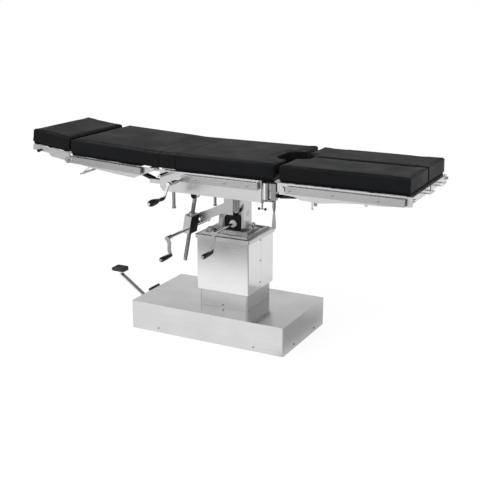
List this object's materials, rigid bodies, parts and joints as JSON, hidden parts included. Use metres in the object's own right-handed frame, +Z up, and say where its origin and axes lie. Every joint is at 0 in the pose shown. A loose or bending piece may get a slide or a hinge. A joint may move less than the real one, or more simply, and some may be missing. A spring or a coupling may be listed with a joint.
{
  "type": "hydraulic operating table",
  "caption": "Operating table with sectioned black pads on steel side plates and rails, on a telescoping hydraulic column and a long low base, with hand cranks and pedals",
  "frame": {"origin": "on the floor, on the underside of the base plate, under the axis of the lifting ram", "axes": "+X toward the foot end, the table's long way; -Y the side with the cranks; +Z up"},
  "size_m": [2.0359, 0.7875, 0.9596],
  "materials": {
    "brushed_plate": "satin",
    "steel_plate": "satin",
    "rail_steel": "satin",
    "chrome": "polished",
    "black_plastic": "matte",
    "black_casting": "satin",
    "pad_cover": "satin"
  },
  "bodies": {
    "base": {"base_plate": "brushed_plate", "base_cover": "brushed_plate", "lower_sleeve": "brushed_plate", "hydraulic_cylinder": "rail_steel", "pump_unit": "rail_steel"},
    "pump_pedal": {"pump_lever": "chrome", "pump_pad": "black_plastic"},
    "release": {"release_pedal": "black_plastic"},
    "column": {"lift_ram": "chrome", "housing_front": "brushed_plate", "housing_rear": "brushed_plate", "column_lid": "brushed_plate", "column_head": "rail_steel", "worm_casting": "black_casting"},
    "roll_crank": {"lateral_crank": "chrome"},
    "roll_crank_grip": {"lateral_grip": "black_plastic"},
    "tilt_head": {"roll_shaft": "rail_steel", "tilt_yoke": "steel_plate", "tilt_arm": "steel_plate"},
    "table_frame": {"seat_side_plates": "steel_plate", "seat_beams": "rail_steel", "seat_rails": "rail_steel", "bridge_gearboxes": "rail_steel", "leg_sockets": "chrome", "seat_pad": "pad_cover", "waist_fold": "pad_cover"},
    "near_clamp": {"near_t_handle": "chrome"},
    "far_clamp": {"far_t_handle": "chrome"},
    "screw": {"tilt_screw": "chrome"},
    "screw_box": {"tilt_gearbox": "black_casting"},
    "tilt_crank": {"trend_crank": "chrome"},
    "tilt_crank_grip": {"trend_grip": "black_plastic"},
    "bridge": {"bridge_lift": "chrome", "bridge_pad": "pad_cover"},
    "lift_crank": {"bridge_crank": "chrome"},
    "lift_crank_grip": {"bridge_grip": "black_plastic"},
    "back": {"back_side_plates": "steel_plate", "back_beams": "rail_steel", "back_rails": "rail_steel", "back_pad": "pad_cover"},
    "back_lever": {"back_release_lever": "chrome"},
    "back_strut": {"back_strut_cylinder": "black_casting"},
    "back_rod": {"back_strut_rod": "chrome"},
    "head": {"head_frame": "steel_plate", "head_pad": "pad_cover"},
    "head_lock": {"head_knob": "black_plastic"},
    "near_block": {"near_leg_block": "steel_plate"},
    "near_spoon": {"near_spoon_handle": "chrome"},
    "near_leg": {"near_leg_frame": "steel_plate", "near_leg_rail": "rail_steel", "near_leg_pad": "pad_cover"},
    "near_strut": {"near_strut_cylinder": "black_casting"},
    "near_rod": {"near_strut_rod": "chrome"},
    "far_block": {"far_leg_block": "steel_plate"},
    "far_spoon": {"far_spoon_handle": "chrome"},
    "far_leg": {"far_leg_frame": "steel_plate", "far_leg_rail": "rail_steel", "far_leg_pad": "pad_cover"},
    "far_strut": {"far_strut_cylinder": "black_casting"},
    "far_rod": {"far_strut_rod": "chrome"}
  },
  "joints": [
    {"name": "lift", "type": "slide", "parent": "base", "child": "column", "axis": [0, 0, 1], "range_m": [-0.08, 0.16]},
    {"name": "pump_press", "type": "hinge", "parent": "base", "child": "pump_pedal", "pos_m": [-0.42, -0.085, 0.067], "axis": [0, -1, 0], "range_deg": [0, 22], "stiffness_Nm_per_rad": 14, "springref_deg": -28.65},
    {"name": "release_press", "type": "hinge", "parent": "base", "child": "release", "pos_m": [-0.426, 0.022, 0.102], "axis": [0, -1, 0], "range_deg": [0, 12], "stiffness_Nm_per_rad": 6, "springref_deg": -17.19},
    {"name": "lateral_tilt", "type": "hinge", "parent": "column", "child": "tilt_head", "pos_m": [0, 0, 0.602], "axis": [1, 0, 0], "range_deg": [-16, 16]},
    {"name": "lateral_crank_turn", "type": "hinge", "parent": "column", "child": "roll_crank", "pos_m": [0.015, 0, 0.557], "axis": [0, -1, 0], "range_deg": [-682, 682]},
    {"name": "lateral_grip_spin", "type": "hinge", "parent": "roll_crank", "child": "roll_crank_grip", "pos_m": [0.00851, -0.3, 0.46423], "axis": [0, 1, 0], "continuous": true},
    {"name": "trend_tilt", "type": "hinge", "parent": "tilt_head", "child": "table_frame", "pos_m": [0.02, 0, 0.7], "axis": [0, 1, 0], "range_deg": [-16, 16]},
    {"name": "screw_swivel", "type": "hinge", "parent": "table_frame", "child": "screw", "pos_m": [-0.165, -0.103, 0.69], "axis": [0, 1, 0], "range_deg": [-21, 21]},
    {"name": "screw_climb", "type": "slide", "parent": "screw", "child": "screw_box", "axis": [-0.1857, 0, -0.9826], "range_m": [-0.0512, 0.0512]},
    {"name": "trend_crank_turn", "type": "hinge", "parent": "screw_box", "child": "tilt_crank", "pos_m": [-0.18544, -0.2, 0.52798], "axis": [0, -1, 0], "range_deg": [-393, 393]},
    {"name": "trend_grip_spin", "type": "hinge", "parent": "tilt_crank", "child": "tilt_crank_grip", "pos_m": [-0.16755, -0.38, 0.44795], "axis": [0, 1, 0], "continuous": true},
    {"name": "bridge_raise", "type": "slide", "parent": "table_frame", "child": "bridge", "axis": [0, 0, 1], "range_m": [0, 0.11]},
    {"name": "bridge_crank_turn", "type": "hinge", "parent": "table_frame", "child": "lift_crank", "pos_m": [-0.152, -0.3, 0.797], "axis": [0, -1, 0], "range_deg": [0, 415]},
    {"name": "bridge_grip_spin", "type": "hinge", "parent": "lift_crank", "child": "lift_crank_grip", "pos_m": [-0.17697, -0.43, 0.7284], "axis": [0, 1, 0], "continuous": true},
    {"name": "back_fold", "type": "hinge", "parent": "table_frame", "child": "back", "pos_m": [-0.283, 0, 0.832], "axis": [0, -1, 0], "range_deg": [-68, 8], "deforming": ["waist_fold"]},
    {"name": "back_lever_pull", "type": "hinge", "parent": "back", "child": "back_lever", "pos_m": [-0.61434, -0.247, 0.8117], "axis": [0, 1, 0], "range_deg": [0, 10], "stiffness_Nm_per_rad": 3, "springref_deg": -14.32},
    {"name": "back_strut_swivel", "type": "hinge", "parent": "table_frame", "child": "back_strut", "pos_m": [-0.301, -0.216, 0.768], "axis": [0, -1, 0], "range_deg": [-59, 7.3]},
    {"name": "back_strut_slide", "type": "slide", "parent": "back_strut", "child": "back_rod", "axis": [-0.948, 0, 0.3181], "range_m": [-0.0083, 0.069]},
    {"name": "head_fold", "type": "hinge", "parent": "back", "child": "head", "pos_m": [-0.805, 0, 0.832], "axis": [0, -1, 0], "range_deg": [-12, 90]},
    {"name": "head_knob_turn", "type": "hinge", "parent": "head", "child": "head_lock", "pos_m": [-0.99287, -0.245, 0.86146], "axis": [0, -1, 0], "continuous": true},
    {"name": "near_splay", "type": "hinge", "parent": "table_frame", "child": "near_block", "pos_m": [0.286, -0.25, 0.79], "axis": [0, 0, -1], "range_deg": [0, 90]},
    {"name": "near_spoon_turn", "type": "hinge", "parent": "near_block", "child": "near_spoon", "pos_m": [0.322, -0.24, 0.72], "axis": [0, 0, 1], "range_deg": [-25, 25]},
    {"name": "near_fold", "type": "hinge", "parent": "near_block", "child": "near_leg", "pos_m": [0.371, -0.25, 0.807], "axis": [0, 1, 0], "range_deg": [-10, 90]},
    {"name": "near_strut_swivel", "type": "hinge", "parent": "near_block", "child": "near_strut", "pos_m": [0.326, -0.216, 0.76], "axis": [0, 1, 0], "range_deg": [-10, 84]},
    {"name": "near_strut_slide", "type": "slide", "parent": "near_strut", "child": "near_rod", "axis": [0.9956, 0, 0.0936], "range_m": [-0.093, 0.011]},
    {"name": "near_clamp_turn", "type": "hinge", "parent": "table_frame", "child": "near_clamp", "pos_m": [0.262, -0.238, 0.72], "axis": [0, 0, 1], "range_deg": [-90, 90]},
    {"name": "far_splay", "type": "hinge", "parent": "table_frame", "child": "far_block", "pos_m": [0.286, 0.25, 0.79], "axis": [0, 0, 1], "range_deg": [0, 90]},
    {"name": "far_spoon_turn", "type": "hinge", "parent": "far_block", "child": "far_spoon", "pos_m": [0.322, 0.24, 0.72], "axis": [0, 0, 1], "range_deg": [-25, 25]},
    {"name": "far_fold", "type": "hinge", "parent": "far_block", "child": "far_leg", "pos_m": [0.371, 0.25, 0.807], "axis": [0, 1, 0], "range_deg": [-10, 90]},
    {"name": "far_strut_swivel", "type": "hinge", "parent": "far_block", "child": "far_strut", "pos_m": [0.326, 0.216, 0.76], "axis": [0, 1, 0], "range_deg": [-10, 84]},
    {"name": "far_strut_slide", "type": "slide", "parent": "far_strut", "child": "far_rod", "axis": [0.9956, 0, 0.0936], "range_m": [-0.093, 0.011]},
    {"name": "far_clamp_turn", "type": "hinge", "parent": "table_frame", "child": "far_clamp", "pos_m": [0.262, 0.238, 0.72], "axis": [0, 0, 1], "range_deg": [-90, 90]}
  ],
  "couplings": [
    {"joint": "lateral_crank_turn", "follows": "lateral_tilt", "ratio": 42},
    {"joint": "screw_swivel", "follows": "trend_tilt", "ratio": -1.28},
    {"joint": "screw_climb", "follows": "trend_tilt", "m_per_rad": 0.1783},
    {"joint": "trend_crank_turn", "follows": "trend_tilt", "ratio": 24},
    {"joint": "bridge_crank_turn", "follows": "bridge_raise", "rad_per_m": 65},
    {"joint": "back_strut_swivel", "follows": "back_fold", "ratio": 0.85},
    {"joint": "back_strut_slide", "follows": "back_fold", "m_per_rad": -0.057},
    {"joint": "near_strut_swivel", "follows": "near_fold", "ratio": 0.92},
    {"joint": "near_strut_slide", "follows": "near_fold", "m_per_rad": -0.0585},
    {"joint": "far_strut_swivel", "follows": "far_fold", "ratio": 0.92},
    {"joint": "far_strut_slide", "follows": "far_fold", "m_per_rad": -0.0585}
  ]
}
